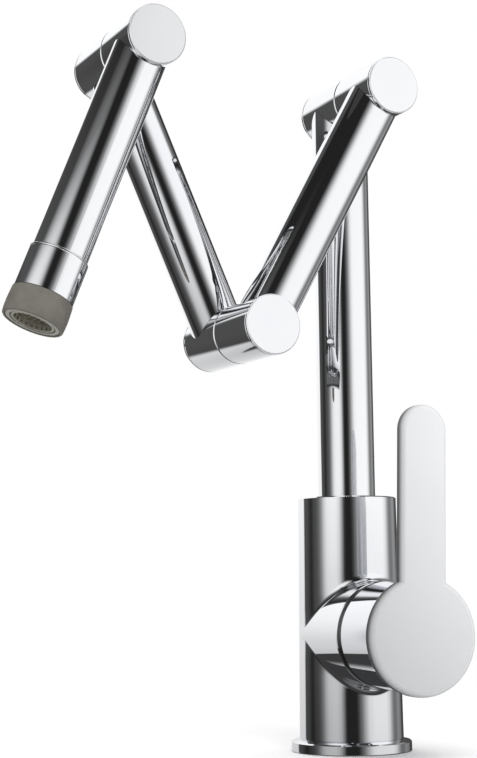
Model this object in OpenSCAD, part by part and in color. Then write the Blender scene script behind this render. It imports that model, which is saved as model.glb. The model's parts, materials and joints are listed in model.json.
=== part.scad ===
// Folding kitchen faucet: a deck-mounted single-lever mixer whose riser carries
// two folding arms and a spout on three swivel joints.
// The origin is the centre of the base on the worktop. The lever is on +X and
// the spout side is -Y, turned a little with the riser.

/* [Base and body] */
// Diameter of the base flange
flange_d = 52; // [50:0.5:60]
// Height of the base flange where it meets the body
flange_h = 5; // [4:0.5:8]
// Fall of the flange's top from the body to its rim
flange_fall = 0.7; // [0.3:0.1:1.2]
// Bevel on the flange's rim
flange_bevel = 0.5; // [0.2:0.1:1]
// Diameter of the body at its foot
body_foot_d = 45; // [44.5:0.1:47]
// Diameter of the body at its top
body_top_d = 43; // [42:0.1:44]
// Height of the body's top above the worktop
body_top = 109; // [108:0.5:125]
// Bevel on the body's edges
body_bevel = 0.5; // [0.2:0.1:1]
// Diameter of the spigot that centres the flange on the body
foot_spigot_d = 38; // [37:0.5:39]
// Width of the rubber gasket under the flange
gasket_w = 2.6; // [2:0.1:3]
// Thickness of the rubber gasket under the flange
gasket_t = 1.5; // [1:0.1:2.5]

/* [Supply and fixing] */
// Diameter of the brass inlet block in the foot
block_d = 32; // [30:0.5:33]
// Height of the inlet block
block_h = 15; // [13:0.5:17]
// Bore of the two threaded hose inlets
inlet_d = 9; // [8:0.1:9.4]
// Depth of the two threaded hose inlets
inlet_depth = 11.5; // [9:0.5:12]
// Distance between the two hose inlets
inlet_spacing = 14; // [13:0.5:14.5]
// Distance of the hose inlets from the axis, away from the lever
inlet_offset = 5.2; // [4.8:0.1:5.4]
// Bore of the threaded hole for the fixing stud
stud_d = 6.7; // [5:0.1:7]
// Distance of the fixing stud from the axis
stud_offset = 9; // [8:0.5:10]
// Depth of the fixing stud's hole
stud_depth = 11; // [9:0.5:12]
// Diameter of the water passages in the body
passage_d = 6; // [5:0.1:6.4]

/* [Riser and swivel] */
// Diameter of the riser tube
riser_d = 25; // [24.6:0.1:25.2]
// Wall of the riser tube
riser_wall = 1.5; // [1.2:0.1:2]
// Turn of the riser at rest, from the lever's axis
riser_turn = 6; // [-20:1:20]
// Depth of the riser's foot ledge below the body's top
ledge_drop = 26; // [25:0.5:27]
// Length of the sealed spigot under the riser tube
spigot_h = 18; // [17:0.5:19]
// Length of the spigot's neck inside the riser tube
spigot_neck = 11; // [9:0.5:13]
// Wall of the spigot's neck
neck_wall = 2.5; // [2:0.1:3]
// Distance between the two swivel seals
swivel_seal_step = 5; // [4.6:0.1:5.2]
// Wall of the plastic guide bush
bush_wall = 2; // [1.5:0.1:2.4]
// How far the guide bush sits below the body's top
bush_drop = 0.4; // [0.2:0.1:1]
// Size of the swivel's retaining screw
retainer_d = 5; // [4:0.5:6]
// Diameter of the retaining screw's tip
retainer_tip_d = 3; // [2:0.1:3.2]

/* [Folding arms] */
// Diameter of the arm and spout tubes
arm_d = 23; // [22:0.1:24]
// Wall of the arm and spout tubes
arm_wall = 1.5; // [1:0.1:2]
// Length of an arm, joint to joint
arm_length = 125; // [120:1:200]
// Sideways step from one arm to the next
arm_step = 32.5; // [32:0.5:36]
// Height of the shoulder joint above the worktop
shoulder_z = 285; // [280:1:360]
// Lean of the lower arm from straight down
lower_lean = 29.4; // [20:0.1:60]
// Lean of the middle arm from straight up
middle_lean = 24.1; // [10:0.1:60]
// Lean of the spout from straight down
spout_lean = 22; // [10:0.5:60]

/* [Swivel joints] */
// Diameter of a joint barrel
barrel_d = 25; // [24.6:0.1:28]
// Distance from a tube's axis to the barrel's end
barrel_end = 13; // [12.8:0.1:15]
// Gap between the two halves of a joint barrel
seam_gap = 0.3; // [0.2:0.05:0.5]
// Bevel on the barrel's edges
barrel_bevel = 0.35; // [0.2:0.05:0.6]
// Thickness of a barrel's end cap
cap_t = 1.5; // [1:0.1:2]
// Fine gap between an end cap and its barrel
cap_gap = 0.2; // [0.1:0.05:0.3]
// Length of the plug behind an end cap
cap_plug = 1.3; // [1:0.1:1.6]
// Diameter of the hollow spindle
spindle_d = 14; // [13:0.1:14.4]
// Bore of the hollow spindle
spindle_bore_d = 8; // [7:0.1:8.4]
// Diameter of the spindle's threaded end
spindle_thread_d = 10; // [9:0.1:11]
// Diameter of the water chamber round the spindle
chamber_d = 19; // [18:0.1:20]
// Width of the water chamber round the spindle
chamber_w = 7; // [6.8:0.1:7.2]
// Diameter of the port from a tube into its barrel
port_d = 6.4; // [5.5:0.1:6.6]
// Diameter of the recess that holds the nut
recess_d = 20; // [19.5:0.1:20.4]
// Thickness of the spindle's nut and of its head
nut_t = 2; // [1.6:0.1:2.2]
// Width of the spindle's nut across its flats
nut_flats = 15; // [13:0.5:16]
// Thickness of the spring washer under the nut
spring_t = 1; // [0.6:0.1:1.1]
// Depth of the slip washer's seat in the rear half
slip_seat = 1.2; // [1:0.1:1.6]
// Outer diameter of the slip washer
slip_d = 22; // [20:0.1:22.4]
// Thickness of a seal ring's section
seal_t = 1.8; // [1.4:0.1:1.9]
// Length of the stub that locates a tube on its barrel
stub_h = 4; // [3:0.5:6]

/* [Spout end] */
// Length of the spout, joint to outlet
spout_length = 128; // [124:1:160]
// Diameter of the chromed collar
collar_d = 24.6; // [24.4:0.1:25.2]
// Length of the chromed collar
collar_h = 17.2; // [16.5:0.1:20]
// Rounding of the collar's shoulder
collar_round = 0.7; // [0.3:0.05:0.8]
// Diameter of the grey nozzle ring where it is widest
nozzle_d = 25.4; // [25.2:0.1:26.4]
// Diameter of the grey nozzle ring where it meets the collar
nozzle_top_d = 24.8; // [24.4:0.1:25.2]
// Length of the grey nozzle ring
nozzle_h = 11.3; // [10:0.1:12]
// Wall of the grey nozzle ring
nozzle_wall = 1.3; // [1.1:0.1:1.5]
// Thickness of the ledge that holds the nozzle ring against the collar
nozzle_ledge = 1.2; // [0.8:0.1:2]
// Bore of the aerator housing
aerator_bore_d = 18; // [17:0.1:18.4]
// Length of the aerator insert, with the space above it
insert_h = 9; // [8:0.5:10]
// Wall of the aerator insert
insert_wall = 1; // [0.8:0.1:1.4]
// How far the aerator insert is set in from the outlet
insert_inset = 0.5; // [0.3:0.1:1]
// How far the insert's grid is set in from the outlet
grid_inset = 2.8; // [2.2:0.1:3.5]
// Thickness of the insert's grid
grid_t = 1.2; // [0.8:0.1:1.6]
// Number of slots round the insert's rim
rim_slots = 22; // [16:1:24]
// Width of a slot in the insert's rim
slot_w = 1.1; // [0.8:0.1:1.2]
// Height of a slot in the insert's rim
slot_h = 1.3; // [0.8:0.1:1.5]
// Width of the open groove round the insert in the mouth
mouth_groove = 0.45; // [0.2:0.05:0.6]
// Depth of the open groove round the insert in the mouth
mouth_groove_h = 1.6; // [1:0.1:2]

/* [Cartridge] */
// Height of the lever's axis above the worktop
cartridge_z = 50; // [48:0.5:52]
// Diameter of the ceramic cartridge
cartridge_d = 35; // [34:0.1:35.4]
// Distance from the body's axis to the cartridge's seat
seat_x = 0; // [-0.4:0.1:1]
// Length of the cartridge's housing
housing_h = 23; // [22:0.1:24]
// Thickness of each ceramic disc
disc_t = 3.4; // [3:0.1:3.6]
// Diameter of the moving ceramic disc
moving_disc_d = 25; // [23:0.1:26]
// Distance of the cartridge's ports from its axis
port_ring_r = 8.4; // [8:0.1:9]
// Length of the cartridge's threaded retaining ring
ring_nut_h = 5.2; // [4:0.1:5.4]
// Distance from the body's axis to the lever's tilting axis
tilt_x = 19; // [18.6:0.1:19.4]
// Diameter of the lever's pivot pin
pivot_d = 3; // [2.5:0.1:3.4]

/* [Lever] */
// Diameter of the branch and of the lever's hub
hub_d = 44.4; // [44.2:0.1:44.8]
// Distance from the body's axis to the end of the branch
branch_x = 33; // [32.5:0.1:33.5]
// How far the branch's root reaches past the body's axis
branch_root = 2.6; // [2:0.1:3.2]
// Gap in which the dome shows between branch and hub
hub_gap = 4; // [3.6:0.1:4.6]
// Length of the hub behind the lever plate
hub_h = 26.8; // [26:0.1:28]
// Wall of the hub
hub_wall = 1.5; // [1.2:0.1:1.7]
// Thickness of the lever plate
plate_t = 4.2; // [3.6:0.1:5]
// Rounding of the lever plate's front edge
plate_round = 2; // [1:0.1:2.4]
// Diameter of the lever plate's disc
plate_d = 48; // [46:0.5:54]
// Length of the lever from the hub's axis to its tip
lever_length = 93.5; // [80:0.5:130]
// Width of the lever
lever_w = 20.8; // [16:0.1:24]
// Turn of the lever at rest, away from the spout
lever_lean = 1.8; // [0:0.1:4]
// Width of the square stem
stem_w = 8; // [7:0.1:8.4]
// Wall of the dome between branch and hub
dome_wall = 1.5; // [1:0.1:1.8]
// Diameter of the opening in the dome
dome_hole_d = 24; // [23:0.5:25]
// Size of the lever's grub screw
grub_d = 5; // [4:0.5:5.5]
// Length of the lever's grub screw
grub_h = 8; // [6:0.5:10]

/* [Clearances] */
// Gap between parts that turn in one another
run_gap = 0.05; // [0.03:0.01:0.1]
// Gap between parts that are pressed, screwed or brazed together
fit_gap = 0.05; // [0.02:0.01:0.1]
// Gap between flat faces that turn past one another
face_gap = 0.05; // [0.03:0.01:0.1]

/* [Hidden] */
$fn = 96;

// Joint centres in the plane of the folding arms
shoulder = [0, 0, shoulder_z];
elbow = shoulder + arm_length * [0, -sin(lower_lean), -cos(lower_lean)];
wrist = elbow + arm_length * [0, -sin(middle_lean), cos(middle_lean)];

// Turn about X that points +Z along each tube, from its upstream joint
lower_turn = 180 - lower_lean;
middle_turn = middle_lean;
spout_turn = 180 - spout_lean;

// Radii and stations of the tubes and barrels
riser_r = riser_d / 2;
riser_bore_r = riser_r - riser_wall;
arm_r = arm_d / 2;
arm_bore_r = arm_r - arm_wall;
barrel_r = barrel_d / 2;
tube_s = arm_step / 2;
barrel_s = tube_s + barrel_end;
cap_s = barrel_s - cap_t;
plug_s = cap_s - cap_gap - cap_plug;
floor_s = plug_s - nut_t - spring_t - 3 * face_gap;
chamber_s = tube_s - chamber_w / 2;
spindle_r = spindle_d / 2;
recess_r = recess_d / 2;
groove_w = seal_t + 0.4;
seal_ring_r = spindle_r + run_gap - 0.03 - seal_t / 2;
groove_r = seal_ring_r - seal_t / 2 - 0.02;
inner_seal_s = (seam_gap / 2 + slip_seat + chamber_s) / 2;
outer_seal_s = (tube_s + chamber_w / 2 + floor_s) / 2;

// Stations of the swivel inside the body
ledge_z = body_top - ledge_drop;
spigot_top = ledge_z + spigot_h;
spigot_r = riser_r - run_gap;
socket_r = riser_r;
swivel_seal_r = socket_r - 0.03 - seal_t / 2;
swivel_groove_r = swivel_seal_r - seal_t / 2 - 0.02;
lower_swivel_seal = ledge_z + 0.8 * swivel_seal_step;
upper_swivel_seal = lower_swivel_seal + swivel_seal_step;
retainer_z = spigot_top - 3.5;
bush_z = spigot_top - 0.5;
bush_top = body_top - bush_drop;
bush_h = bush_top - bush_z;
bush_r = riser_r + bush_wall;
mix_chamber_r = 15.5;
mix_chamber_z = ledge_z - 9;
mix_chamber_h = 5;

// Stations of the spout end, measured from the wrist along the spout
nozzle_top = spout_length - nozzle_h;
collar_bottom = nozzle_top - 0.15;
collar_top = collar_bottom - collar_h;
spout_tube_end = collar_top + 10.5;
collar_lip = spout_tube_end + 1.4;
collar_thread_r = 11;
aerator_seat = collar_lip + 1.6;
nozzle_r = nozzle_d / 2;
aerator_r = nozzle_r - nozzle_wall;
insert_r = aerator_bore_d / 2 - fit_gap;
insert_top = spout_length - insert_h;
grid_r = insert_r - insert_wall;

// Stations of the cartridge along X
cartridge_r = cartridge_d / 2;
cavity_r = cartridge_r + 0.1;
housing_top = housing_h - seat_x;
base_t = 3;
top_t = 3;
fixed_disc_x = base_t - seat_x;
moving_disc_x = fixed_disc_x + disc_t + 2 * face_gap;
carrier_x = moving_disc_x + disc_t;
carrier_t = 2.6;
turret_x = carrier_x + carrier_t + 0.3;
turret_r = cartridge_r - 2.2;
neck_r = 8.9;
neck_x = housing_top + 2;
ring_thread_r = cartridge_r + 0.9;
ring_nut_x = housing_top + face_gap;
carrier_floor = 0.3;
ball_r = 2.4;
ball_x = carrier_x + carrier_floor + ball_r + run_gap;
stem_slot = 11.8;
stem_end = branch_x + hub_gap + 19;

// Stations of the lever
hub_r = hub_d / 2;
hub_x = branch_x + hub_gap;
plate_x = hub_x + hub_h;
boss_x = hub_x + 11;
boss_r = 8.5;
dome_r = sqrt(pow(branch_x - tilt_x, 2) + pow(hub_r - 0.3, 2));
skirt_x = ring_nut_x + ring_nut_h + face_gap;
grub_x = boss_x + 5;

// Foot of the body
foot_spigot_r = foot_spigot_d / 2;
flange_r = flange_d / 2;
gasket_r = (flange_r + foot_spigot_r) / 2;
block_r = block_d / 2;
block_core_r = block_r - seal_t - 0.1;
block_seal_z = 8;
passage_x = -(seat_x + passage_d / 2 + 1.6);

// Frames

module along_x() {
    rotate([0, 90, 0]) children();
}

// Turns everything above the swivel with the riser
module at_riser() {
    rotate([0, 0, riser_turn]) children();
}

// Places a piece of a swivel joint; its X = 0 is the seam between the halves
module at_joint(centre) {
    at_riser() translate([tube_s, centre[1], centre[2]]) children();
}

// Places a piece on the cartridge's axis: local Z runs along +X, local Y up
module at_cartridge() {
    translate([0, 0, cartridge_z]) rotate([90, 0, 90]) children();
}

// The same, turned with the lever
module at_lever() {
    translate([0, 0, cartridge_z]) rotate([-lever_lean, 0, 0]) rotate([90, 0, 90]) children();
}

// Places a piece of the spout: local Z runs from the wrist to the outlet
module at_spout() {
    at_riser() translate([arm_step, wrist[1], wrist[2]]) rotate([spout_turn, 0, 0]) children();
}

// Shared shapes

module ring(outer, inner, h) {
    difference() {
        cylinder(r = outer, h = h);
        translate([0, 0, -1]) cylinder(r = inner, h = h + 2);
    }
}

module bevelled_rod(r, h, bevel_low, bevel_high) {
    rotate_extrude()
        polygon([[0, 0], [r - bevel_low, 0], [r, bevel_low],
                 [r, h - bevel_high], [r - bevel_high, h], [0, h]]);
}

module seal_ring(ring_r) {
    rotate_extrude() translate([ring_r, 0]) circle(d = seal_t);
}

// A flat disc whose upper edge is rounded
module rounded_disc(r, t, edge) {
    cylinder(r = r, h = t - edge);
    cylinder(r = r - edge, h = t);
    translate([0, 0, t - edge]) rotate_extrude() translate([r - edge, 0]) circle(r = edge);
}

// A grub screw along +Z with a hexagon socket in its outer end
module grub_screw(d, h) {
    difference() {
        bevelled_rod(d / 2 - fit_gap, h, 0.4, 0.3);
        translate([0, 0, h * 0.55]) cylinder(d = d * 0.58, h = h, $fn = 6);
    }
}

// Base and body

module base_flange() {
    color("silver") difference() {
        rotate_extrude()
            polygon([[foot_spigot_r + fit_gap, 0], [flange_r - 0.2, 0], [flange_r, 0.2],
                     [flange_r, flange_h - flange_fall - flange_bevel],
                     [flange_r - flange_bevel, flange_h - flange_fall],
                     [body_foot_d / 2, flange_h], [foot_spigot_r + fit_gap, flange_h]]);
        translate([0, 0, -1]) ring(gasket_r + gasket_w / 2, gasket_r - gasket_w / 2, gasket_t + 1);
    }
}

module base_gasket() {
    color("dimgray") ring(gasket_r + gasket_w / 2 - fit_gap, gasket_r - gasket_w / 2 + fit_gap,
                          gasket_t);
}

module body_outline() {
    body_h = body_top - flange_h;
    translate([0, 0, flange_h]) {
        rotate_extrude()
            polygon([[0, 0], [body_foot_d / 2 - body_bevel, 0], [body_foot_d / 2, body_bevel],
                     [body_top_d / 2, body_h - body_bevel], [body_top_d / 2 - body_bevel, body_h],
                     [0, body_h]]);
    }
    cylinder(r = foot_spigot_r, h = flange_h + 1);
    at_cartridge() translate([0, 0, -branch_root])
        bevelled_rod(hub_r, branch_x + branch_root, 0, 0.4);
}

module water_passages() {
    port_y = port_ring_r * cos(30);
    port_z = port_ring_r * sin(30);
    for (side = [-1, 1]) {
        // Supply: up from the inlet block, then across to the cartridge's seat
        translate([passage_x, side * port_y, block_h - 1])
            cylinder(d = passage_d, h = cartridge_z - port_z - block_h + 1 + passage_d / 2);
        translate([passage_x, side * port_y, cartridge_z - port_z])
            along_x() cylinder(d = passage_d - 0.4, h = -passage_x);
    }
    // Mixed water: from the seat up to the chamber under the riser
    translate([passage_x, 0, cartridge_z + port_ring_r])
        along_x() cylinder(d = passage_d - 0.4, h = -passage_x);
    translate([passage_x, 0, cartridge_z + port_ring_r - passage_d / 2])
        cylinder(d = passage_d, h = mix_chamber_z + 1 - cartridge_z - port_ring_r + passage_d / 2);
    translate([0, 0, mix_chamber_z]) cylinder(r = mix_chamber_r, h = mix_chamber_h);
    translate([0, 0, mix_chamber_z]) cylinder(r = riser_bore_r - neck_wall, h = 12);
}

module body_casting() {
    color("silver") difference() {
        body_outline();
        // Seat of the inlet block
        translate([0, 0, -1]) cylinder(r = block_r, h = block_h + 1 + fit_gap);
        water_passages();
        // Swivel socket and the seat of its guide bush
        translate([0, 0, ledge_z]) cylinder(r = socket_r, h = body_top);
        translate([0, 0, bush_z]) cylinder(r = bush_r, h = body_top);
        // Retaining screw, from the back
        translate([0, socket_r - 3, retainer_z]) rotate([-90, 0, 0])
            cylinder(d = retainer_d, h = body_foot_d);
        // Cartridge, its ring nut and the dome's skirt
        at_cartridge() {
            translate([0, 0, -seat_x]) cylinder(r = cavity_r, h = branch_x + seat_x + 1);
            translate([0, 0, housing_top]) cylinder(r = ring_thread_r, h = branch_x);
        }
    }
}

module inlet_block() {
    color("goldenrod") difference() {
        union() {
            cylinder(r = block_core_r, h = block_h);
            cylinder(r = block_r - fit_gap, h = block_seal_z - groove_w / 2);
            translate([0, 0, block_seal_z + groove_w / 2])
                cylinder(r = block_r - fit_gap, h = block_h - block_seal_z - groove_w / 2);
        }
        for (side = [-1, 1]) {
            translate([-inlet_offset, side * inlet_spacing / 2, -1])
                cylinder(d = inlet_d, h = inlet_depth + 1);
            translate([passage_x, side * port_ring_r * cos(30), inlet_depth - 0.2])
                cylinder(d = passage_d, h = block_h);
        }
        translate([stud_offset, 0, -1]) cylinder(d = stud_d, h = stud_depth + 1);
    }
}

module inlet_block_seal() {
    color("dimgray") translate([0, 0, block_seal_z]) seal_ring(block_r - 0.03 - seal_t / 2);
}

// Swivel

module swivel_guide_bush() {
    color("whitesmoke") translate([0, 0, bush_z])
        ring(bush_r - fit_gap, riser_r + run_gap, bush_h);
}

module swivel_retaining_screw() {
    tip_r = swivel_groove_r + 0.3;
    color("gray") translate([0, 0, retainer_z]) rotate([-90, 0, 0]) {
        translate([0, 0, socket_r + 0.4]) grub_screw(retainer_d, body_top_d / 2 - socket_r - 1.4);
        translate([0, 0, tip_r]) cylinder(d = retainer_tip_d, h = socket_r + 1 - tip_r);
    }
}

module riser_tube() {
    color("silver") difference() {
        translate([0, 0, spigot_top]) ring(riser_r, riser_bore_r, shoulder_z - spigot_top);
        at_riser() translate([-tube_s, 0, shoulder_z]) along_x()
            cylinder(r = barrel_r + fit_gap, h = arm_step);
    }
}

module riser_spigot() {
    color("goldenrod") difference() {
        union() {
            translate([0, 0, ledge_z]) cylinder(r = spigot_r, h = spigot_h);
            translate([0, 0, ledge_z]) cylinder(r = riser_bore_r - fit_gap, h = spigot_h + spigot_neck);
        }
        for (z = [lower_swivel_seal, upper_swivel_seal])
            translate([0, 0, z - groove_w / 2]) ring(riser_r + 1, swivel_groove_r, groove_w);
        translate([0, 0, retainer_z - retainer_tip_d / 2 - 0.1])
            ring(riser_r + 1, swivel_groove_r, retainer_tip_d + 0.2);
        translate([0, 0, ledge_z - 1])
            cylinder(r = riser_bore_r - neck_wall, h = spigot_h + spigot_neck + 2);
    }
}

module riser_seals() {
    color("dimgray") for (z = [lower_swivel_seal, upper_swivel_seal])
        translate([0, 0, z]) seal_ring(swivel_seal_r);
}

// Folding joints. A front half lies at X > 0 of its joint, a rear half at X < 0.

module barrel_half(tube_bore, turn) {
    half_h = cap_s - cap_gap - seam_gap / 2;
    difference() {
        union() {
            translate([seam_gap / 2, 0, 0]) along_x()
                bevelled_rod(barrel_r, half_h, barrel_bevel, barrel_bevel / 2);
            translate([tube_s, 0, 0]) rotate([turn, 0, 0])
                translate([0, 0, chamber_d / 2 + 0.5])
                cylinder(r = tube_bore - fit_gap, h = barrel_r - chamber_d / 2 - 0.5 + stub_h);
        }
        translate([-1, 0, 0]) along_x() cylinder(r = spindle_r + run_gap, h = barrel_s + 1);
        translate([chamber_s, 0, 0]) along_x() cylinder(d = chamber_d, h = chamber_w);
        translate([floor_s, 0, 0]) along_x() cylinder(r = recess_r, h = barrel_s);
        translate([tube_s, 0, 0]) rotate([turn, 0, 0]) cylinder(d = port_d, h = barrel_d);
    }
}

module front_barrel(centre, tube_bore, turn) {
    color("silver") at_joint(centre) barrel_half(tube_bore, turn);
}

module rear_barrel(centre, tube_bore, turn) {
    color("silver") at_joint(centre) difference() {
        mirror([1, 0, 0]) barrel_half(tube_bore, turn);
        translate([-seam_gap / 2 - slip_seat, 0, 0]) along_x() cylinder(d = slip_d + 0.4, h = 5);
    }
}

module end_cap(centre, side) {
    color("gainsboro") at_joint(centre) mirror([side < 0 ? 1 : 0, 0, 0]) {
        translate([cap_s, 0, 0]) along_x() bevelled_rod(barrel_r, cap_t, barrel_bevel / 2, 0.5);
        translate([plug_s, 0, 0]) along_x() cylinder(r = recess_r - fit_gap, h = cap_s - plug_s + 0.5);
    }
}

// The hollow spindle is fixed in the rear half and turns in the front half
module spindle(centre) {
    shaft_end = floor_s - face_gap;
    color("goldenrod") at_joint(centre) difference() {
        union() {
            translate([-shaft_end, 0, 0]) along_x() cylinder(r = spindle_r, h = 2 * shaft_end);
            translate([-floor_s - nut_t - face_gap, 0, 0]) along_x()
                cylinder(r = recess_r - 0.6, h = nut_t);
            translate([-floor_s - 1, 0, 0]) along_x() cylinder(d = spindle_thread_d, h = 2);
            translate([shaft_end - 1, 0, 0]) along_x()
                cylinder(d = spindle_thread_d, h = plug_s - shaft_end + 1 - face_gap);
        }
        translate([-tube_s - port_d / 2, 0, 0]) along_x()
            cylinder(d = spindle_bore_d, h = arm_step + port_d);
        for (s = [-tube_s, tube_s], turn = [0, 90])
            translate([s, 0, 0]) rotate([turn, 0, 0])
                cylinder(d = port_d, h = spindle_d + 2, center = true);
        for (s = [-outer_seal_s, -inner_seal_s, inner_seal_s, outer_seal_s])
            translate([s - groove_w / 2, 0, 0]) along_x() ring(spindle_r + 1, groove_r, groove_w);
    }
}

module spindle_seals(centre) {
    color("dimgray") at_joint(centre)
        for (s = [-outer_seal_s, -inner_seal_s, inner_seal_s, outer_seal_s])
            translate([s, 0, 0]) along_x() seal_ring(seal_ring_r);
}

module slip_washer(centre) {
    washer_s = -seam_gap / 2 - slip_seat;
    color("whitesmoke") at_joint(centre) translate([washer_s, 0, 0]) along_x()
        ring(slip_d / 2, spindle_r + 0.2, slip_seat + seam_gap - face_gap);
}

module spring_washer(centre) {
    color("gray") at_joint(centre) translate([floor_s + face_gap, 0, 0]) along_x()
        ring(recess_r - 0.6, spindle_thread_d / 2 + 0.2, spring_t);
}

module spindle_nut(centre) {
    nut_s = floor_s + spring_t + 2 * face_gap;
    color("goldenrod") at_joint(centre) translate([nut_s, 0, 0]) along_x() difference() {
        intersection() {
            cylinder(d = nut_flats / cos(30), h = nut_t, $fn = 6);
            cylinder(r = recess_r - 0.6, h = nut_t);
        }
        translate([0, 0, -1]) cylinder(r = spindle_thread_d / 2 + fit_gap, h = nut_t + 2);
    }
}

// A tube between two joints, its ends coped to the barrels
module arm_tube(centre, x, turn) {
    color("silver") at_riser() translate([x, centre[1], centre[2]]) rotate([turn, 0, 0]) difference() {
        ring(arm_r, arm_bore_r, arm_length);
        for (z = [0, arm_length])
            translate([-tube_s, 0, z]) along_x() cylinder(r = barrel_r + fit_gap, h = arm_step);
    }
}

// Spout end

module spout_tube() {
    color("silver") at_spout() difference() {
        ring(arm_r, arm_bore_r, spout_tube_end);
        translate([-tube_s, 0, 0]) along_x() cylinder(r = barrel_r + fit_gap, h = arm_step);
    }
}

module spout_collar() {
    color("silver") at_spout() difference() {
        translate([0, 0, collar_bottom]) rotate([180, 0, 0])
            rounded_disc(collar_d / 2, collar_h, collar_round);
        translate([0, 0, collar_top - 1])
            cylinder(r = arm_r + fit_gap, h = spout_tube_end + 1 - collar_top + fit_gap);
        translate([0, 0, collar_top]) cylinder(r = aerator_bore_d / 2, h = collar_h + 1);
        translate([0, 0, collar_lip]) cylinder(r = collar_thread_r, h = collar_h);
    }
}

module aerator_gasket() {
    color("dimgray") at_spout() translate([0, 0, collar_lip + face_gap])
        ring(collar_thread_r - 0.2, aerator_bore_d / 2, aerator_seat - collar_lip - 2 * face_gap);
}

module aerator_housing() {
    flange_top = nozzle_top + nozzle_ledge + fit_gap;
    color("lightgray") at_spout() difference() {
        union() {
            translate([0, 0, aerator_seat])
                cylinder(r = collar_thread_r - fit_gap, h = flange_top + 1 - aerator_seat);
            translate([0, 0, flange_top])
                bevelled_rod(aerator_r - fit_gap, spout_length - 0.3 - flange_top, 0, 0.4);
        }
        translate([0, 0, aerator_seat - 1]) cylinder(d = aerator_bore_d - 2, h = spout_length);
        translate([0, 0, insert_top]) cylinder(d = aerator_bore_d, h = spout_length);
        // Groove in the mouth, which shows as a dark ring round the insert
        translate([0, 0, spout_length - mouth_groove_h])
            cylinder(r = aerator_bore_d / 2 + mouth_groove, h = mouth_groove_h);
    }
}

module aerator_insert() {
    rim = spout_length - insert_inset;
    color("gainsboro") at_spout() difference() {
        translate([0, 0, insert_top + fit_gap])
            bevelled_rod(insert_r, rim - insert_top - fit_gap, 0, 0.2);
        translate([0, 0, insert_top - 1]) cylinder(r = grid_r, h = spout_length);
        for (i = [0:rim_slots - 1]) rotate([0, 0, i * 360 / rim_slots])
            translate([grid_r - 0.5, -slot_w / 2, rim - slot_h - 0.6])
                cube([0.5 + insert_wall / 2, slot_w, slot_h]);
    }
}

module aerator_mesh() {
    pitch = 2.5;
    color("gray") at_spout() translate([0, 0, spout_length - grid_inset - grid_t]) difference() {
        cylinder(r = grid_r - fit_gap, h = grid_t);
        for (i = [-3:3], j = [-3:3]) {
            x = (i + j / 2) * pitch;
            y = j * pitch * sin(60);
            if (norm([x, y]) < grid_r - 1.4) translate([x, y, -1]) cylinder(d = 1.7, h = 4, $fn = 24);
        }
    }
}

module nozzle_ring() {
    color("gray") at_spout() translate([0, 0, nozzle_top]) difference() {
        rotate_extrude()
            polygon([[0, 0], [nozzle_top_d / 2 - 0.2, 0], [nozzle_top_d / 2, 0.2],
                     [nozzle_r - 0.1, nozzle_h * 0.35], [nozzle_r, nozzle_h * 0.55],
                     [nozzle_r - 0.1, nozzle_h * 0.8], [nozzle_r - 0.3, nozzle_h - 0.4],
                     [nozzle_r - 0.7, nozzle_h], [0, nozzle_h]]);
        translate([0, 0, -1]) cylinder(r = collar_thread_r, h = nozzle_h + 2);
        translate([0, 0, nozzle_ledge]) cylinder(r = aerator_r, h = nozzle_h);
    }
}

// Cartridge

module cartridge_ports(d, h) {
    for (angle = [90, 210, 330])
        rotate([0, 0, angle]) translate([port_ring_r, 0, -1]) cylinder(d = d, h = h + 2);
}

module cartridge_housing() {
    color("white") at_cartridge() translate([0, 0, -seat_x]) difference() {
        cylinder(r = cartridge_r, h = housing_h);
        translate([0, 0, base_t]) cylinder(r = cartridge_r - 2, h = housing_h - base_t - top_t);
        translate([0, 0, base_t]) cylinder(r = neck_r + run_gap, h = housing_h);
        cartridge_ports(passage_d - 0.4, base_t);
        for (angle = [90, 210, 330])
            rotate([0, 0, angle]) translate([port_ring_r, 0, -1]) cylinder(d = passage_d + 2, h = 2.2);
    }
}

module cartridge_port_seals() {
    color("dimgray") at_cartridge() translate([0, 0, -seat_x]) for (angle = [90, 210, 330])
        rotate([0, 0, angle]) translate([port_ring_r, 0, 0])
            ring(passage_d / 2 + 1 - fit_gap, passage_d / 2 - 0.1, 1.15);
}

module fixed_ceramic_disc() {
    color("ivory") at_cartridge() translate([0, 0, fixed_disc_x]) difference() {
        cylinder(r = cartridge_r - 2 - fit_gap, h = disc_t);
        cartridge_ports(passage_d - 0.4, disc_t);
    }
}

module moving_ceramic_disc() {
    color("ivory") at_lever() translate([0, 0, moving_disc_x]) difference() {
        cylinder(d = moving_disc_d, h = disc_t);
        // Mixing pocket in the face that slides on the fixed disc
        translate([0, 0, -1]) cylinder(d = moving_disc_d - 9, h = 2.6);
    }
}

module disc_carrier() {
    color("white") at_lever() translate([0, 0, carrier_x]) difference() {
        cylinder(d = moving_disc_d, h = carrier_t);
        translate([0, 0, carrier_floor]) cylinder(r = ball_r + 0.1, h = carrier_t);
    }
}

module cartridge_turret() {
    color("white") at_lever() difference() {
        union() {
            translate([0, 0, turret_x])
                cylinder(r = turret_r, h = housing_top - top_t - turret_x - face_gap);
            translate([0, 0, turret_x]) cylinder(r = neck_r, h = neck_x - turret_x);
        }
        translate([-stem_w / 2 - 0.1, -stem_slot / 2, 0]) cube([stem_w + 0.2, stem_slot, neck_x + 1]);
        translate([-turret_r - 1, 0, tilt_x]) rotate([0, 90, 0])
            cylinder(d = pivot_d, h = 2 * turret_r + 2);
    }
}

module lever_pivot_pin() {
    color("gray") at_lever() translate([0, 0, tilt_x]) rotate([0, 90, 0])
        cylinder(d = pivot_d - 2 * 0.02, h = 2 * neck_r - 1, center = true);
}

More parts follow.
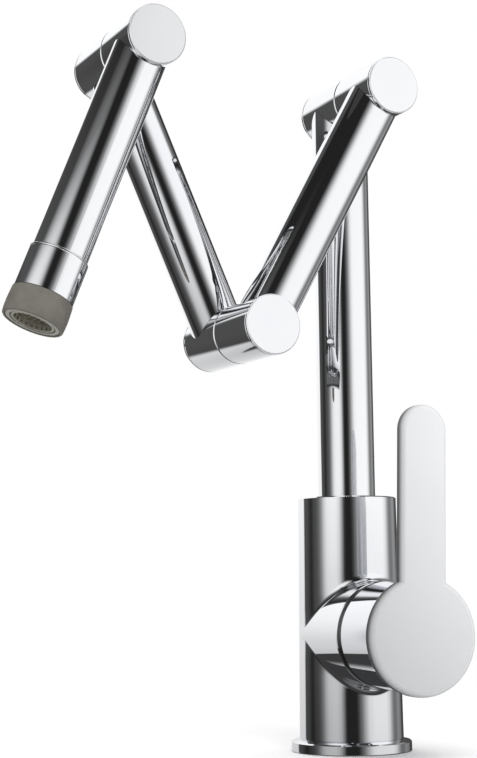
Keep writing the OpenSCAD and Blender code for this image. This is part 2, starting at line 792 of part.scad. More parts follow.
module cartridge_ring_nut() {
    color("goldenrod") at_cartridge() translate([0, 0, ring_nut_x]) difference() {
        cylinder(r = ring_thread_r - fit_gap, h = ring_nut_h);
        translate([0, 0, -1]) cylinder(r = 11.5, h = ring_nut_h + 2);
        for (angle = [0:60:300]) rotate([0, 0, angle])
            translate([10, -1.5, ring_nut_h - 1.8]) cube([4.5, 3, 3]);
    }
}

module dome_cover() {
    inner_r = dome_r - dome_wall;
    skirt_r = ring_thread_r - fit_gap;
    color("silver") at_cartridge() difference() {
        union() {
            translate([0, 0, skirt_x]) cylinder(r = skirt_r, h = branch_x - skirt_x + 0.5);
            intersection() {
                translate([0, 0, tilt_x]) sphere(r = dome_r);
                translate([0, 0, branch_x]) cylinder(r = hub_r, h = dome_r);
            }
        }
        translate([0, 0, tilt_x]) sphere(r = inner_r);
        translate([0, 0, skirt_x - 1]) cylinder(r = skirt_r - dome_wall, h = branch_x - skirt_x + 1);
        cylinder(d = dome_hole_d, h = 3 * branch_x);
    }
}

// Lever

module lever_stem() {
    shaft_x = ball_x + ball_r;
    color("gray") at_lever() difference() {
        union() {
            translate([0, 0, ball_x]) sphere(r = ball_r);
            translate([0, 0, ball_x]) cylinder(r = 1.9, h = shaft_x - ball_x + 1);
            translate([-stem_w / 2, -stem_w / 2, shaft_x])
                cube([stem_w, stem_w, stem_end - shaft_x]);
        }
        translate([0, 0, tilt_x]) rotate([0, 90, 0])
            cylinder(d = pivot_d + 2 * run_gap, h = 2 * stem_w, center = true);
    }
}

module lever_plate() {
    bar_h = lever_length - lever_w / 2;
    edge_x = lever_w / 2 - plate_round;
    rounded_disc(plate_d / 2, plate_t, plate_round);
    translate([0, bar_h, 0]) rounded_disc(lever_w / 2, plate_t, plate_round);
    translate([-lever_w / 2, 0, 0]) cube([lever_w, bar_h, plate_t - plate_round]);
    translate([-edge_x, 0, 0]) cube([2 * edge_x, bar_h, plate_t]);
    for (side = [-1, 1])
        translate([side * edge_x, 0, plate_t - plate_round]) rotate([-90, 0, 0])
            cylinder(r = plate_round, h = bar_h);
}

module lever_handle() {
    socket = stem_w + 2 * fit_gap;
    color("silver") at_lever() difference() {
        union() {
            translate([0, 0, plate_x]) lever_plate();
            difference() {
                translate([0, 0, hub_x]) bevelled_rod(hub_r, hub_h + 0.5, 0.4, 0);
                translate([0, 0, hub_x - 1]) cylinder(r = hub_r - hub_wall, h = hub_h + 1);
            }
            translate([0, 0, boss_x]) cylinder(r = boss_r, h = plate_x - boss_x + 0.5);
            translate([0, 0, grub_x]) rotate([90, 0, 0]) cylinder(r = grub_d / 2 + 2, h = hub_r - 0.5);
        }
        translate([-socket / 2, -socket / 2, boss_x - 1])
            cube([socket, socket, stem_end + 1.3 - boss_x]);
        translate([0, 0, grub_x]) rotate([90, 0, 0]) cylinder(d = grub_d, h = hub_r + 5);
    }
}

module lever_grub_screw() {
    color("gray") at_lever() translate([0, 0, grub_x]) rotate([90, 0, 0])
        translate([0, 0, stem_w / 2 + fit_gap]) grub_screw(grub_d, grub_h);
}

base_flange();
base_gasket();
body_casting();
inlet_block();
inlet_block_seal();
swivel_guide_bush();
swivel_retaining_screw();
cartridge_housing();
cartridge_port_seals();
fixed_ceramic_disc();
cartridge_ring_nut();
dome_cover();
cartridge_turret();
lever_pivot_pin();
moving_ceramic_disc();
disc_carrier();
lever_stem();
lever_handle();
lever_grub_screw();
riser_tube();
riser_spigot();
riser_seals();
rear_barrel(shoulder, riser_bore_r, 180);  // shoulder_rear_barrel
end_cap(shoulder, -1);  // shoulder_rear_cap
spindle(shoulder);  // shoulder_spindle
spindle_seals(shoulder);  // shoulder_seals
slip_washer(shoulder);  // shoulder_slip_washer
spring_washer(shoulder);  // shoulder_spring_washer
spindle_nut(shoulder);  // shoulder_nut
front_barrel(shoulder, arm_bore_r, lower_turn);  // shoulder_front_barrel
end_cap(shoulder, 1);  // shoulder_front_cap
arm_tube(shoulder, arm_step, lower_turn);  // lower_arm_tube
front_barrel(elbow, arm_bore_r, lower_turn + 180);  // elbow_front_barrel
end_cap(elbow, 1);  // elbow_front_cap
rear_barrel(elbow, arm_bore_r, middle_turn);  // elbow_rear_barrel
end_cap(elbow, -1);  // elbow_rear_cap
spindle(elbow);  // elbow_spindle
spindle_seals(elbow);  // elbow_seals
slip_washer(elbow);  // elbow_slip_washer
spring_washer(elbow);  // elbow_spring_washer
spindle_nut(elbow);  // elbow_nut
arm_tube(elbow, 0, middle_turn);  // middle_arm_tube
rear_barrel(wrist, arm_bore_r, middle_turn + 180);  // wrist_rear_barrel
end_cap(wrist, -1);  // wrist_rear_cap
spindle(wrist);  // wrist_spindle
spindle_seals(wrist);  // wrist_seals
slip_washer(wrist);  // wrist_slip_washer
spring_washer(wrist);  // wrist_spring_washer
spindle_nut(wrist);  // wrist_nut
front_barrel(wrist, arm_bore_r, spout_turn);  // wrist_front_barrel
end_cap(wrist, 1);  // wrist_front_cap
spout_tube();
spout_collar();
aerator_gasket();
aerator_housing();
aerator_insert();
aerator_mesh();
nozzle_ring();
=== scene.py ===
import json
import math
import bpy
from mathutils import Matrix, Vector


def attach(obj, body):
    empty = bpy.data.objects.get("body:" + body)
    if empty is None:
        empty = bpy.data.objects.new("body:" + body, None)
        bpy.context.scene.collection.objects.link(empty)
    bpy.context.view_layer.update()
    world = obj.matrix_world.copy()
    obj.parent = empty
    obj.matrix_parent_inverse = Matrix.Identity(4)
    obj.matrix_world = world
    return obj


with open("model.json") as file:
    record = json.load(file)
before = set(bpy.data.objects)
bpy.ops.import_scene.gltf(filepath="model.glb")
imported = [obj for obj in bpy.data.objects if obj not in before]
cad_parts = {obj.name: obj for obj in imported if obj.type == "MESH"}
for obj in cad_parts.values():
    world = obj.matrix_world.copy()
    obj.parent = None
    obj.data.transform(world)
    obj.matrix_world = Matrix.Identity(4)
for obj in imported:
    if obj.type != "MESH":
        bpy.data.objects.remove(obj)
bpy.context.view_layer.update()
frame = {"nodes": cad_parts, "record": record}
NODES = frame["nodes"]
SCENE = bpy.context.scene


# Camera, fitted to the photograph's outlines

CAM_POS = Vector((0.63413, -0.30846, 0.07021))
YAW, PITCH, ROLL = math.radians(67.91), math.radians(7.5), math.radians(-0.68)
FOCAL_PX, PHOTO_HEIGHT_PX = 1586.82, 758
SENSOR_MM = 36.0


def make_camera():
    forward = Vector((-math.sin(YAW) * math.cos(PITCH), math.cos(YAW) * math.cos(PITCH), math.sin(PITCH)))
    level_right = forward.cross(Vector((0, 0, 1))).normalized()
    level_up = level_right.cross(forward)
    right = level_right * math.cos(ROLL) + level_up * math.sin(ROLL)
    up = level_up * math.cos(ROLL) - level_right * math.sin(ROLL)
    data = bpy.data.cameras.new("camera")
    data.sensor_fit = "VERTICAL"
    data.sensor_height = SENSOR_MM
    data.lens = SENSOR_MM * FOCAL_PX / PHOTO_HEIGHT_PX
    data.clip_start = 0.01
    cam = bpy.data.objects.new("camera", data)
    turn = Matrix((right, up, -forward)).transposed()
    cam.matrix_world = Matrix.Translation(CAM_POS) @ turn.to_4x4()
    SCENE.collection.objects.link(cam)
    SCENE.camera = cam


# Node helpers

def linear(rgb):
    """sRGB 0-255 to the linear colour a shader takes."""
    out = []
    for c in rgb:
        c = c / 255
        out.append(c / 12.92 if c <= 0.04045 else ((c + 0.055) / 1.055) ** 2.4)
    return (*out, 1.0)


def new_material(name):
    mat = bpy.data.materials.new(name)
    mat.use_nodes = True
    nt = mat.node_tree
    return mat, nt, nt.nodes["Principled BSDF"]


def add(nt, kind, values=None, **props):
    n = nt.nodes.new(kind)
    for k, v in props.items():
        setattr(n, k, v)
    for k, v in (values or {}).items():
        n.inputs[k].default_value = v
    return n


def object_place(nt):
    return add(nt, "ShaderNodeTexCoord").outputs["Object"]


def split(nt, vector):
    sep = add(nt, "ShaderNodeSeparateXYZ")
    nt.links.new(vector, sep.inputs[0])
    return sep.outputs["X"], sep.outputs["Y"], sep.outputs["Z"]


def noise(nt, scale, detail=3.0, rough=0.55, stretch=None):
    source = object_place(nt)
    if stretch:
        mapping = add(nt, "ShaderNodeMapping", {"Scale": stretch})
        nt.links.new(source, mapping.inputs["Vector"])
        source = mapping.outputs["Vector"]
    n = add(nt, "ShaderNodeTexNoise", {"Scale": scale, "Detail": detail, "Roughness": rough})
    nt.links.new(source, n.inputs["Vector"])
    return n.outputs["Fac"]


def ranged(nt, value, low, high, start=0.3, stop=0.7, shape="LINEAR"):
    """From low at start to high at stop, and level beyond."""
    m = add(nt, "ShaderNodeMapRange", {"From Min": start, "From Max": stop, "To Min": low, "To Max": high},
            interpolation_type=shape)
    nt.links.new(value, m.inputs["Value"])
    return m.outputs["Result"]


def step(nt, value, start, stop, low=0.0, high=1.0):
    """The same with a soft start and stop."""
    return ranged(nt, value, low, high, start, stop, "SMOOTHSTEP")


def math_node(nt, op, a, b):
    n = add(nt, "ShaderNodeMath", operation=op)
    for socket, v in zip(n.inputs, (a, b)):
        if isinstance(v, (int, float)):
            socket.default_value = v
        else:
            nt.links.new(v, socket)
    return n.outputs[0]


def times(nt, a, b):
    return math_node(nt, "MULTIPLY", a, b)


def plus(nt, a, b):
    return math_node(nt, "ADD", a, b)


def less(nt, a, b):
    return math_node(nt, "SUBTRACT", a, b)


def window(nt, value, rise, fall):
    """1 between two soft edges and 0 outside them."""
    return times(nt, step(nt, value, *rise), step(nt, value, *fall))


def mix(nt, fac, a, b, blend="MIX"):
    """Between two colours, each a socket or a value."""
    m = add(nt, "ShaderNodeMix", data_type="RGBA", blend_type=blend)
    for k, v in ((0, fac), (6, a), (7, b)):
        if isinstance(v, (tuple, float)):
            m.inputs[k].default_value = v
        else:
            nt.links.new(v, m.inputs[k])
    return m.outputs[2]


def two_tone(nt, value, a, b):
    r = add(nt, "ShaderNodeValToRGB")
    for element, place, colour in zip(r.color_ramp.elements, (0.35, 0.65), (a, b)):
        element.position = place
        element.color = colour
    nt.links.new(value, r.inputs["Fac"])
    return r.outputs["Color"]


def ramp_node(nt, value, stops, low, high):
    """A ramp over stops given in the value's own units, which run from low to high."""
    n = add(nt, "ShaderNodeValToRGB")
    elements = n.color_ramp.elements
    places = [((p - low) / (high - low), v) for p, v in stops]
    elements[0].position, elements[1].position = places[0][0], places[-1][0]
    for place, _ in places[1:-1]:
        elements.new(place)
    for e, (place, v) in zip(elements, places):
        e.position = place
        e.color = (v, v, v, 1)
    nt.links.new(math_node(nt, "DIVIDE", less(nt, value, low), high - low), n.inputs["Fac"])
    return n.outputs["Color"]


def bump(nt, bsdf, value, strength, distance=0.0001):
    b = add(nt, "ShaderNodeBump", {"Strength": strength, "Distance": distance})
    nt.links.new(value, b.inputs["Height"])
    nt.links.new(b.outputs["Normal"], bsdf.inputs["Normal"])


# Materials

CHROME_TONES = linear((247, 248, 250)), linear((243, 244, 247))


def metal(name, tones, gloss, smudge, grain, grain_strength, stretch=None):
    """Metal with faint tonal drift, smudges in its gloss and a fine surface grain."""
    mat, nt, bsdf = new_material(name)
    bsdf.inputs["Metallic"].default_value = 1.0
    nt.links.new(two_tone(nt, noise(nt, smudge), *tones), bsdf.inputs["Base Color"])
    haze = noise(nt, smudge * 2.7, 6.0, 0.6)
    nt.links.new(ranged(nt, haze, *gloss), bsdf.inputs["Roughness"])
    bump(nt, bsdf, noise(nt, grain, 3.0, 0.5, stretch), grain_strength)
    return mat


# The lever's plate along X: its back edge, and where the rounding of its rim ends in the flat face
PLATE_BACK, FACE_EDGE = (0.0636, 0.0641), (0.06798, 0.067996)
PLATE_X = (0.064, 0.068)
# Painted shading of the rim along X, darker at its back and lighter towards the face: the lighter ramp away
# from the spout, the darker ramp of painted shade towards it, and between which Y the one becomes the other
RIM_PAINTED_LIGHT_STOPS = [(0.0640, 0.48), (0.0660, 0.65), (0.0668, 0.86), (0.0674, 0.95), (0.0680, 0.99)]
RIM_PAINTED_SHADE_STOPS = [(0.0640, 0.05), (0.0655, 0.13), (0.0664, 0.37), (0.0671, 0.60), (0.0677, 0.78), (0.0680, 0.88)]
RIM_TURN = (0.006, -0.011)
# Painted light on the face: brighter towards the tip of the blade, along Z, and away from the spout, along Y
FACE_PAINTED_LIGHT_STOPS = [(0.030, 0.71), (0.050, 0.735), (0.075, 0.78), (0.110, 0.82), (0.142, 0.85)]
FACE_PAINTED_ACROSS, FACE_HALF_WIDTH = (0.88, 1.08), 0.022
FACE_DRIFT = (0.98, 0.99, 1.0, 1), (0.96, 0.97, 0.985, 1)
# How far rim and face are satin instead of metal, and how much rougher than the hub plate and rim are
RIM_SATIN, FACE_SATIN = 0.9, 0.4
HUB_GLOSS, PLATE_ROUGHER, RIM_ROUGHER = (0.02, 0.05), 0.12, 0.35


def lever_metal():
    """The lever's hub is as bright as the tubes; its plate and blade are satin, soft at the rim, and carry
    painted shade and light in their tone.
    """
    mat, nt, bsdf = new_material("lever_chrome")
    x, y, z = split(nt, object_place(nt))
    plate = ranged(nt, x, 0, 1, *PLATE_BACK)
    face = ranged(nt, x, 0, 1, *FACE_EDGE)
    rim = times(nt, plate, less(nt, 1.0, face))

    # Painted light along and across the face
    across = ranged(nt, y, *FACE_PAINTED_ACROSS, -FACE_HALF_WIDTH, FACE_HALF_WIDTH)
    face_painted_light = times(nt, ramp_node(nt, z, FACE_PAINTED_LIGHT_STOPS, 0, 0.16), across)
    # The rim's tone is painted shade and light, shown through its satin, non-metal surface
    rim_painted_shading = mix(nt, step(nt, y, *RIM_TURN), ramp_node(nt, x, RIM_PAINTED_LIGHT_STOPS, *PLATE_X),
                   ramp_node(nt, x, RIM_PAINTED_SHADE_STOPS, *PLATE_X))
    plate_painted_shading = mix(nt, face, times(nt, rim_painted_shading, face_painted_light), face_painted_light)
    hub_tone = two_tone(nt, noise(nt, 16), *CHROME_TONES)
    tone = mix(nt, plate, hub_tone, plate_painted_shading)
    drift = two_tone(nt, noise(nt, 24), *FACE_DRIFT)
    nt.links.new(mix(nt, 1.0, drift, tone, "MULTIPLY"), bsdf.inputs["Base Color"])

    gloss = plus(nt, ranged(nt, noise(nt, 40, 6.0, 0.6), *HUB_GLOSS), times(nt, plate, PLATE_ROUGHER))
    nt.links.new(plus(nt, gloss, times(nt, rim, RIM_ROUGHER)), bsdf.inputs["Roughness"])
    satin = plus(nt, times(nt, rim, RIM_SATIN), times(nt, face, FACE_SATIN))
    nt.links.new(less(nt, 1.0, satin), bsdf.inputs["Metallic"])
    bump(nt, bsdf, noise(nt, 700, 3.0, 0.5), 0.012)
    return mat


# The joints' axis, and the two edges of the front and the rear caps' bevels along it
JOINT_AXIS = (math.cos(math.radians(6)), math.sin(math.radians(6)), 0.0)
FRONT_BEVEL = (0.04490, 0.04502), (0.04549, 0.04544)
REAR_BEVEL = (-0.01240, -0.01252), (-0.01299, -0.01294)
# Painted shade on the rear caps' bevels, and the front bevels' roughness and satin
REAR_PAINTED_SHADE, BEVEL_ROUGHER, BEVEL_SATIN = (0.10, 0.10, 0.10, 1), 0.28, 0.5
# The wrist's caps, which lie beyond this along Y, carry painted shade that makes them a little less bright than
# the others
WRIST_FROM, WRIST_PAINTED_SHADE = (-0.080, -0.095), (0.88, 0.88, 0.87, 1)
CAP_GLOSS = (0.04, 0.08)


def cap_metal():
    """End caps: chrome faces, a softer bevel in front and a bevel behind that is painted dark as shade."""
    mat, nt, bsdf = new_material("cap_chrome")
    place = object_place(nt)
    dot = add(nt, "ShaderNodeVectorMath", {1: JOINT_AXIS}, operation="DOT_PRODUCT")
    nt.links.new(place, dot.inputs[0])
    front = window(nt, dot.outputs["Value"], *FRONT_BEVEL)
    rear = window(nt, dot.outputs["Value"], *REAR_BEVEL)

    tone = mix(nt, rear, two_tone(nt, noise(nt, 22), *CHROME_TONES), REAR_PAINTED_SHADE)
    # Painted shade on the wrist's caps
    wrist = step(nt, split(nt, place)[1], *WRIST_FROM)
    nt.links.new(mix(nt, wrist, tone, WRIST_PAINTED_SHADE, "MULTIPLY"), bsdf.inputs["Base Color"])
    haze = ranged(nt, noise(nt, 60, 6.0, 0.6), *CAP_GLOSS)
    bevels = times(nt, plus(nt, front, rear), BEVEL_ROUGHER)
    nt.links.new(plus(nt, haze, bevels), bsdf.inputs["Roughness"])
    nt.links.new(less(nt, 1.0, times(nt, front, BEVEL_SATIN)), bsdf.inputs["Metallic"])
    bump(nt, bsdf, noise(nt, 900, 3.0, 0.5), 0.02)
    return mat


def moulded(name, tone_a, tone_b, gloss, grain, strength, specular=0.4, coat=0.0):
    """Moulded plastic, rubber or ceramic: soft mottling and a fine grain. The tones are sRGB."""
    mat, nt, bsdf = new_material(name)
    bsdf.inputs["Specular IOR Level"].default_value = specular
    bsdf.inputs["Coat Weight"].default_value = coat
    mottle = noise(nt, grain * 0.12)
    nt.links.new(two_tone(nt, mottle, linear(tone_a), linear(tone_b)), bsdf.inputs["Base Color"])
    nt.links.new(ranged(nt, noise(nt, grain * 0.3, 4.0), *gloss), bsdf.inputs["Roughness"])
    bump(nt, bsdf, noise(nt, grain, 5.0, 0.6), strength, 0.00012)
    return mat


CHROME = metal("polished_chrome", CHROME_TONES, (0.015, 0.035), 14, 420, 0.003)
BY_SLOT = {
    "polished_chrome": CHROME,
    "cap_chrome": cap_metal(),
    "brass": metal("brass", (linear((214, 178, 108)), linear((196, 160, 92))), (0.18, 0.32),
                   60, 1500, 0.10, (1, 1, 6)),
    "stainless_steel": metal("stainless_steel", (linear((196, 196, 198)), linear((178, 178, 181))),
                             (0.22, 0.36), 70, 1600, 0.12, (1, 1, 8)),
    "black_rubber": moulded("black_rubber", (34, 34, 35), (26, 26, 27), (0.55, 0.75), 1500, 0.15),
    "white_plastic": moulded("white_plastic", (226, 226, 222), (216, 216, 211), (0.35, 0.5), 1200, 0.06),
    "ceramic": moulded("ceramic", (236, 232, 222), (228, 224, 213), (0.08, 0.16), 900, 0.02, 0.5, 0.3),
    "grey_plastic": moulded("grey_plastic", (118, 114, 107), (108, 105, 98), (0.48, 0.62), 1400, 0.10, 0.3),
    "pale_plastic": moulded("pale_plastic", (150, 149, 141), (138, 137, 129), (0.3, 0.45), 1300, 0.05),
    "aerator_screen": moulded("aerator_screen", (104, 101, 86), (86, 83, 70), (0.3, 0.45), 1600, 0.10),
}
# Pieces that don't look like the rest of their slot
BY_NODE = {
    "lever_handle": lever_metal(),
    # The dome behind the hub is darkened as painted shade of the gap it sits in
    "dome_cover": metal("dome_painted_shade_chrome", (linear((112, 112, 114)), linear((98, 98, 100))), (0.22, 0.32),
                        40, 900, 0.03),
    "aerator_insert": moulded("aerator_teeth", (150, 147, 134), (132, 129, 116), (0.3, 0.45), 1500, 0.08),
}


def dress_nodes():
    for part in frame["record"]["subparts"]:
        mat = BY_NODE.get(part["node"], BY_SLOT[part["material_slot"]])
        obj = NODES[part["node"]]
        obj.data.materials.clear()
        obj.data.materials.append(mat)


# Pieces that the scene adds

def mesh_object(name, verts, faces, mat, smooth=True):
    mesh = bpy.data.meshes.new(name)
    mesh.from_pydata(verts, [], faces)
    mesh.update()
    for p in mesh.polygons:
        p.use_smooth = smooth
    mesh.materials.append(mat)
    obj = bpy.data.objects.new(name, mesh)
    SCENE.collection.objects.link(obj)
    return obj


def ring_faces(rows, columns, closed):
    """Quads between rows of points that follow each other round; each row is closed itself or open."""
    faces = []
    for i in range(rows):
        here, there = i * columns, (i + 1) % rows * columns
        for j in range(columns if closed else columns - 1):
            k = (j + 1) % columns
            faces.append((here + j, here + k, there + k, there + j))
    return faces


# The cast fillet where the lever's branch leaves the body; these are the CAD's sizes of both

BODY_FOOT_R, BODY_TOP_R = 0.0225, 0.0215
BODY_FOOT_Z, BODY_TOP_Z = 0.005, 0.109
BRANCH_R, BRANCH_Z, BRANCH_END_X = 0.0222, 0.050, 0.033
FILLET_R, FILLET_SUNK, FILLET_SHORT = 0.0038, 0.00001, 0.0001


def body_radius(z):
    t = (z - BODY_FOOT_Z) / (BODY_TOP_Z - BODY_FOOT_Z)
    return BODY_FOOT_R + (BODY_TOP_R - BODY_FOOT_R) * t


def make_branch_fillet():
    around, across = 192, 12
    verts = []
    for i in range(around):
        a = 2 * math.pi * i / around
        n_branch = Vector((0, math.sin(a), math.cos(a)))
        y = (BRANCH_R + FILLET_R) * n_branch.y
        z = BRANCH_Z + (BRANCH_R + FILLET_R) * n_branch.z
        reach = body_radius(z) + FILLET_R
        x = math.sqrt(max(reach * reach - y * y, 0))
        centre = Vector((x, y, z))
        n_body = Vector((x, y, 0)).normalized()
        for j in range(across + 1):
            n = (n_branch * (1 - j / across) + n_body * (j / across)).normalized()
            v = centre - n * (FILLET_R + FILLET_SUNK)
            v.x = min(v.x, BRANCH_END_X - FILLET_SHORT)
            verts.append(v)
    fillet = mesh_object("body_branch_fillet", verts, ring_faces(around, across + 1, False), CHROME)
    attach(fillet, "base")


# The polished bead at the top of the spout's collar, round the axis that the CAD gives the spout

SPOUT_START = Vector((0.044071, -0.108391, 0.290203))
SPOUT_AXIS = Vector((0.03916, -0.37255, -0.92718))
BEAD_RING_R, BEAD_R, BEAD_RAISED = 0.01162, 0.0006, 0.0001


def make_collar_bead():
    around, across = 160, 16
    top = min((v.co - SPOUT_START).dot(SPOUT_AXIS) for v in NODES["spout_collar"].data.vertices)
    centre = SPOUT_START + SPOUT_AXIS * (top - BEAD_RAISED)
    side = Vector(JOINT_AXIS).normalized()
    front = SPOUT_AXIS.cross(side).normalized()
    verts = []
    for i in range(around):
        a = 2 * math.pi * i / around
        out = side * math.cos(a) + front * math.sin(a)
        for j in range(across):
            b = 2 * math.pi * j / across
            on_ring = out * (BEAD_RING_R + BEAD_R * math.cos(b))
            verts.append(centre + on_ring + SPOUT_AXIS * BEAD_R * math.sin(b))
    bead = mesh_object("spout_collar_bead", verts, ring_faces(around, across, True), CHROME)
    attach(bead, "spout")


# Studio: pale floor, soft light, and a ring of cards round the faucet that only reflections see

STUDIO_TURN = math.radians(-25.94)
RING_R, RING_LOW, RING_HIGH, RING_SIDES = 0.45, -0.26, 1.0, 180
WHITE_CARD, DARKEST, UNDER_TABLE = 1.04, 0.016, 0.045
# Degrees round the ring, and the brightness of the cards there
RING = [
    (-180, 0.08), (-108, 0.075), (-100, 0.045), (-94, 0.025), (-90, 0.03), (-83, 0.065), (-76, 0.08),
    (-69, 0.14), (-62, 0.30), (-55, 0.62), (-48, 0.85), (-38, 0.94), (-26, 0.93), (-18, 0.74), (-12, 0.33),
    (-7, 0.05), (-2, 0.012), (7, 0.018), (12, 0.055), (20, 0.21), (29, 0.58), (36, 0.88), (44, 1.0),
    (88, 1.02), (98, 0.82), (104, 0.50), (111, 0.24), (118, 0.19), (131, 0.32), (138, 0.24), (146, 0.07),
    (180, 0.08),
]
# Height on the ring, and how much of the cards' brightness is left there
LOW_PART = [(-0.103, 0.58), (-0.06, 0.70), (0.0, 0.80), (0.05, 0.88), (0.14, 1.0)]
LEFT_LOW_PART = [(-0.103, 0.55), (-0.06, 0.62), (0.0, 0.68), (0.05, 0.76), (0.10, 0.84), (0.16, 0.92),
                 (0.30, 1.0)]
FRONT_PART = [(-0.08, 0.68), (0.0, 0.72), (0.05, 0.82), (0.10, 0.94), (0.15, 1.0), (0.36, 1.0),
              (0.42, 0.84), (0.48, 0.46), (0.54, 0.20), (0.62, 0.10), (0.75, 0.03), (0.88, 0.015)]
# The least brightness left of the front card, by height
FRONT_LEAST = [(0.34, 0.0), (0.42, 0.085), (0.50, 0.06), (0.60, 0.035), (0.70, 0.016)]
# How far the right card's right-hand edge is moved, by height: 0.5 is nowhere, and 1 is half of LEAN_SPAN
RIGHT_LEAN = [(-0.05, 1.0), (0.05, 0.75), (0.12, 0.60), (0.18, 0.5), (0.30, 0.30)]
LEAN_SPAN = 12
# How far the white card on the left reaches past its edge, by height, as a share of LEFT_SPAN degrees
LEFT_EDGE = [(0.10, 0.54), (0.18, 0.50), (0.26, 0.58), (0.36, 0.58), (0.42, 0.70), (0.50, 0.70),
             (0.58, 0.56), (0.64, 0.20), (0.72, 0.08)]
LEFT_SPAN, LEFT_CARD = 25, (-131, -137)
# Where each rule holds, in degrees round the ring: the two edges between which it rises and falls
FRONT_RIGHT_EDGE = (-45, -22), (4, -6)
RIGHT_LEFT_EDGE = (2, 12), (60, 45)
RIGHT_RIGHT_EDGE = (65, 82), (142, 125)
FRONT_CARD = (-104, -84), (18, -2)
FRONT_GLOW = (-116, -104), (-16, -30)
BEHIND_RIGHT, PAST_LEFT_CARD = (118, 128), (-146, -138)
# The height of the table's edge, below which only the far end of the left card goes on
TABLE_EDGE = (-0.101, -0.105)
# Left of this angle the front card's light is read higher up, by this much for each degree
SLOPE_FROM, SLOPE = -40.0, 0.0015
# How the cards' edges lean: the heights between which it sets in, and the degrees before and after
FRONT_FOOT_LEAN, FRONT_TOP_LEAN = (0.16, 0.02, 0.0, 3.0), (0.34, 0.46, 0.0, 4.0)
RIGHT_FOOT_LEAN, RIGHT_TOP_LEAN = (0.10, 0.0, 0.0, -4.0), (0.50, 0.60, 0.0, -1.5)
# The cards behind on the right: the heights between which their light falls, and the share that is lost
BEHIND_LOSS = (0.36, 0.46, 0.0, 0.5)


def card_place(nt, around, z):
    """The angle at which the ring's brightness is read: the cards' edges lean."""
    front = plus(nt, step(nt, z, *FRONT_FOOT_LEAN), step(nt, z, *FRONT_TOP_LEAN))
    start = plus(nt, step(nt, z, *RIGHT_FOOT_LEAN), step(nt, z, *RIGHT_TOP_LEAN))
    stop = times(nt, less(nt, ramp_node(nt, z, RIGHT_LEAN, -0.2, 0.8), 0.5), LEAN_SPAN)
    place = plus(nt, around, times(nt, window(nt, around, *FRONT_RIGHT_EDGE), front))
    place = plus(nt, place, times(nt, window(nt, around, *RIGHT_LEFT_EDGE), start))
    return plus(nt, place, times(nt, window(nt, around, *RIGHT_RIGHT_EDGE), stop))


def card_brightness(nt, around, z):
    cards = ramp_node(nt, card_place(nt, around, z), RING, -180, 180)

    # The front card is lit less towards its top and its foot
    slope = times(nt, less(nt, SLOPE_FROM, around), SLOPE)
    height = plus(nt, z, math_node(nt, "MAXIMUM", slope, 0.0))
    in_front = window(nt, around, *FRONT_CARD)
    fade = ramp_node(nt, height, FRONT_PART, -0.2, 1)
    cards = times(nt, cards, plus(nt, times(nt, fade, in_front), less(nt, 1.0, in_front)))
    least = times(nt, ramp_node(nt, z, FRONT_LEAST, 0, 1), window(nt, around, *FRONT_GLOW))
    cards = math_node(nt, "MAXIMUM", cards, least)

    # The dim cards behind on the right lose half of their light further up
    behind = times(nt, step(nt, around, *BEHIND_RIGHT), step(nt, z, *BEHIND_LOSS))
    cards = times(nt, cards, less(nt, 1.0, behind))
    cards = times(nt, cards, ramp_node(nt, z, LOW_PART, -0.2, 0.2))

    # The tall white card on the left
    reach = times(nt, ramp_node(nt, z, LEFT_EDGE, 0, 1), LEFT_SPAN)
    left = step(nt, less(nt, around, reach), *LEFT_CARD)
    tall = times(nt, ramp_node(nt, z, LEFT_LOW_PART, -0.2, 0.4), WHITE_CARD)
    cards = plus(nt, times(nt, left, tall), times(nt, less(nt, 1.0, left), cards))

    under = times(nt, step(nt, z, *TABLE_EDGE), step(nt, around, *PAST_LEFT_CARD))
    cards = plus(nt, times(nt, cards, less(nt, 1.0, under)), times(nt, under, UNDER_TABLE))
    return math_node(nt, "MAXIMUM", cards, DARKEST)


def make_card_ring():
    mat, nt, bsdf = new_material("studio_cards")
    nt.nodes.remove(bsdf)
    x, y, z = split(nt, object_place(nt))
    around = times(nt, math_node(nt, "ARCTAN2", y, x), 180 / math.pi)
    glow = add(nt, "ShaderNodeEmission")
    nt.links.new(card_brightness(nt, around, z), glow.inputs["Strength"])
    nt.links.new(glow.outputs[0], nt.nodes["Material Output"].inputs["Surface"])
    mat.cycles.emission_sampling = "NONE"

    verts, faces = [], []
    for i in range(RING_SIDES):
        a = 2 * math.pi * i / RING_SIDES
        for h in (RING_LOW, RING_HIGH):
            verts.append((RING_R * math.cos(a), RING_R * math.sin(a), h))
        k = (i + 1) % RING_SIDES
        faces.append((2 * i, 2 * k, 2 * k + 1, 2 * i + 1))
    ring = mesh_object("studio_card_ring", verts, faces, mat)
    ring.rotation_euler.z = STUDIO_TURN
    ring.visible_camera = ring.visible_diffuse = ring.visible_shadow = False
    ring.visible_transmission = ring.visible_volume_scatter = False


# What reflections see past the ring, by the sine of the height: a card overhead, and the room below
OVERHEAD, OVERHEAD_LIGHT = (0.95, 0.985), 0.85
BELOW, BELOW_LIGHT = (-0.72, -0.86), 0.14
SOFT_LIGHT = (0.82, 0.82, 0.83, 1)


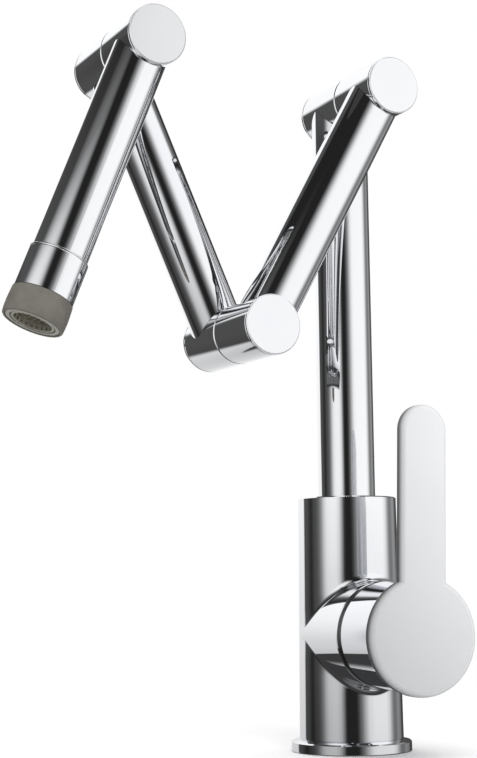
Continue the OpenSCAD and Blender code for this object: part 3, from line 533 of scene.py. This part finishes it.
def make_world():
    world = bpy.data.worlds.new("studio")
    world.use_nodes = True
    SCENE.world = world
    nt = world.node_tree
    nt.nodes.clear()
    z = split(nt, add(nt, "ShaderNodeTexCoord").outputs["Generated"])[2]
    overhead = step(nt, z, *OVERHEAD, 0.0, OVERHEAD_LIGHT)
    below = step(nt, z, *BELOW, UNDER_TABLE, BELOW_LIGHT)
    rest = add(nt, "ShaderNodeBackground", {"Color": (1, 1, 1, 1)})
    nt.links.new(plus(nt, overhead, below), rest.inputs["Strength"])
    light = add(nt, "ShaderNodeBackground", {"Color": SOFT_LIGHT})
    white = add(nt, "ShaderNodeBackground", {"Color": (1, 1, 1, 1), "Strength": 1.0})
    path = add(nt, "ShaderNodeLightPath")
    glossy = add(nt, "ShaderNodeMixShader")
    nt.links.new(path.outputs["Is Glossy Ray"], glossy.inputs[0])
    nt.links.new(light.outputs[0], glossy.inputs[1])
    nt.links.new(rest.outputs[0], glossy.inputs[2])
    seen = add(nt, "ShaderNodeMixShader")
    nt.links.new(path.outputs["Is Camera Ray"], seen.inputs[0])
    nt.links.new(glossy.outputs[0], seen.inputs[1])
    nt.links.new(white.outputs[0], seen.inputs[2])
    out = add(nt, "ShaderNodeOutputWorld")
    nt.links.new(seen.outputs[0], out.inputs["Surface"])


FLOOR_R, FLOOR_SIDES, FLOOR_Z = 0.55, 96, -0.0002
# The floor fades out between these distances from the faucet
FLOOR_FADE = (0.05, 0.36)


def make_floor():
    mat, nt, bsdf = new_material("floor")
    nt.nodes.remove(bsdf)
    diffuse = add(nt, "ShaderNodeBsdfDiffuse", {"Color": (0.97, 0.97, 0.97, 1)})
    clear = add(nt, "ShaderNodeBsdfTransparent")
    length = add(nt, "ShaderNodeVectorMath", operation="LENGTH")
    nt.links.new(object_place(nt), length.inputs[0])
    faded = add(nt, "ShaderNodeMixShader")
    nt.links.new(step(nt, length.outputs["Value"], *FLOOR_FADE), faded.inputs[0])
    nt.links.new(diffuse.outputs[0], faded.inputs[1])
    nt.links.new(clear.outputs[0], faded.inputs[2])
    nt.links.new(faded.outputs[0], nt.nodes["Material Output"].inputs["Surface"])
    turns = [2 * math.pi * i / FLOOR_SIDES for i in range(FLOOR_SIDES)]
    verts = [(FLOOR_R * math.cos(a), FLOOR_R * math.sin(a), FLOOR_Z) for a in turns]
    floor = mesh_object("floor", verts, [tuple(range(FLOOR_SIDES))], mat, False)
    floor.visible_glossy = False


LIGHT_TARGET = Vector((0, 0, 0.15))


def make_light(name, place, size, power):
    data = bpy.data.lights.new(name, "AREA")
    data.shape = "DISK"
    data.size = size
    data.energy = power
    lamp = bpy.data.objects.new(name, data)
    lamp.location = place
    lamp.rotation_euler = (LIGHT_TARGET - Vector(place)).to_track_quat("-Z", "Y").to_euler()
    lamp.visible_glossy = False
    SCENE.collection.objects.link(lamp)


make_camera()
dress_nodes()
make_branch_fillet()
make_collar_bead()
make_world()
make_card_ring()
make_floor()
make_light("key", (1.05, -0.30, 1.2), 0.9, 9)
make_light("fill", (-0.9, 0.15, 0.9), 0.9, 3)
SCENE.view_settings.view_transform = "Standard"
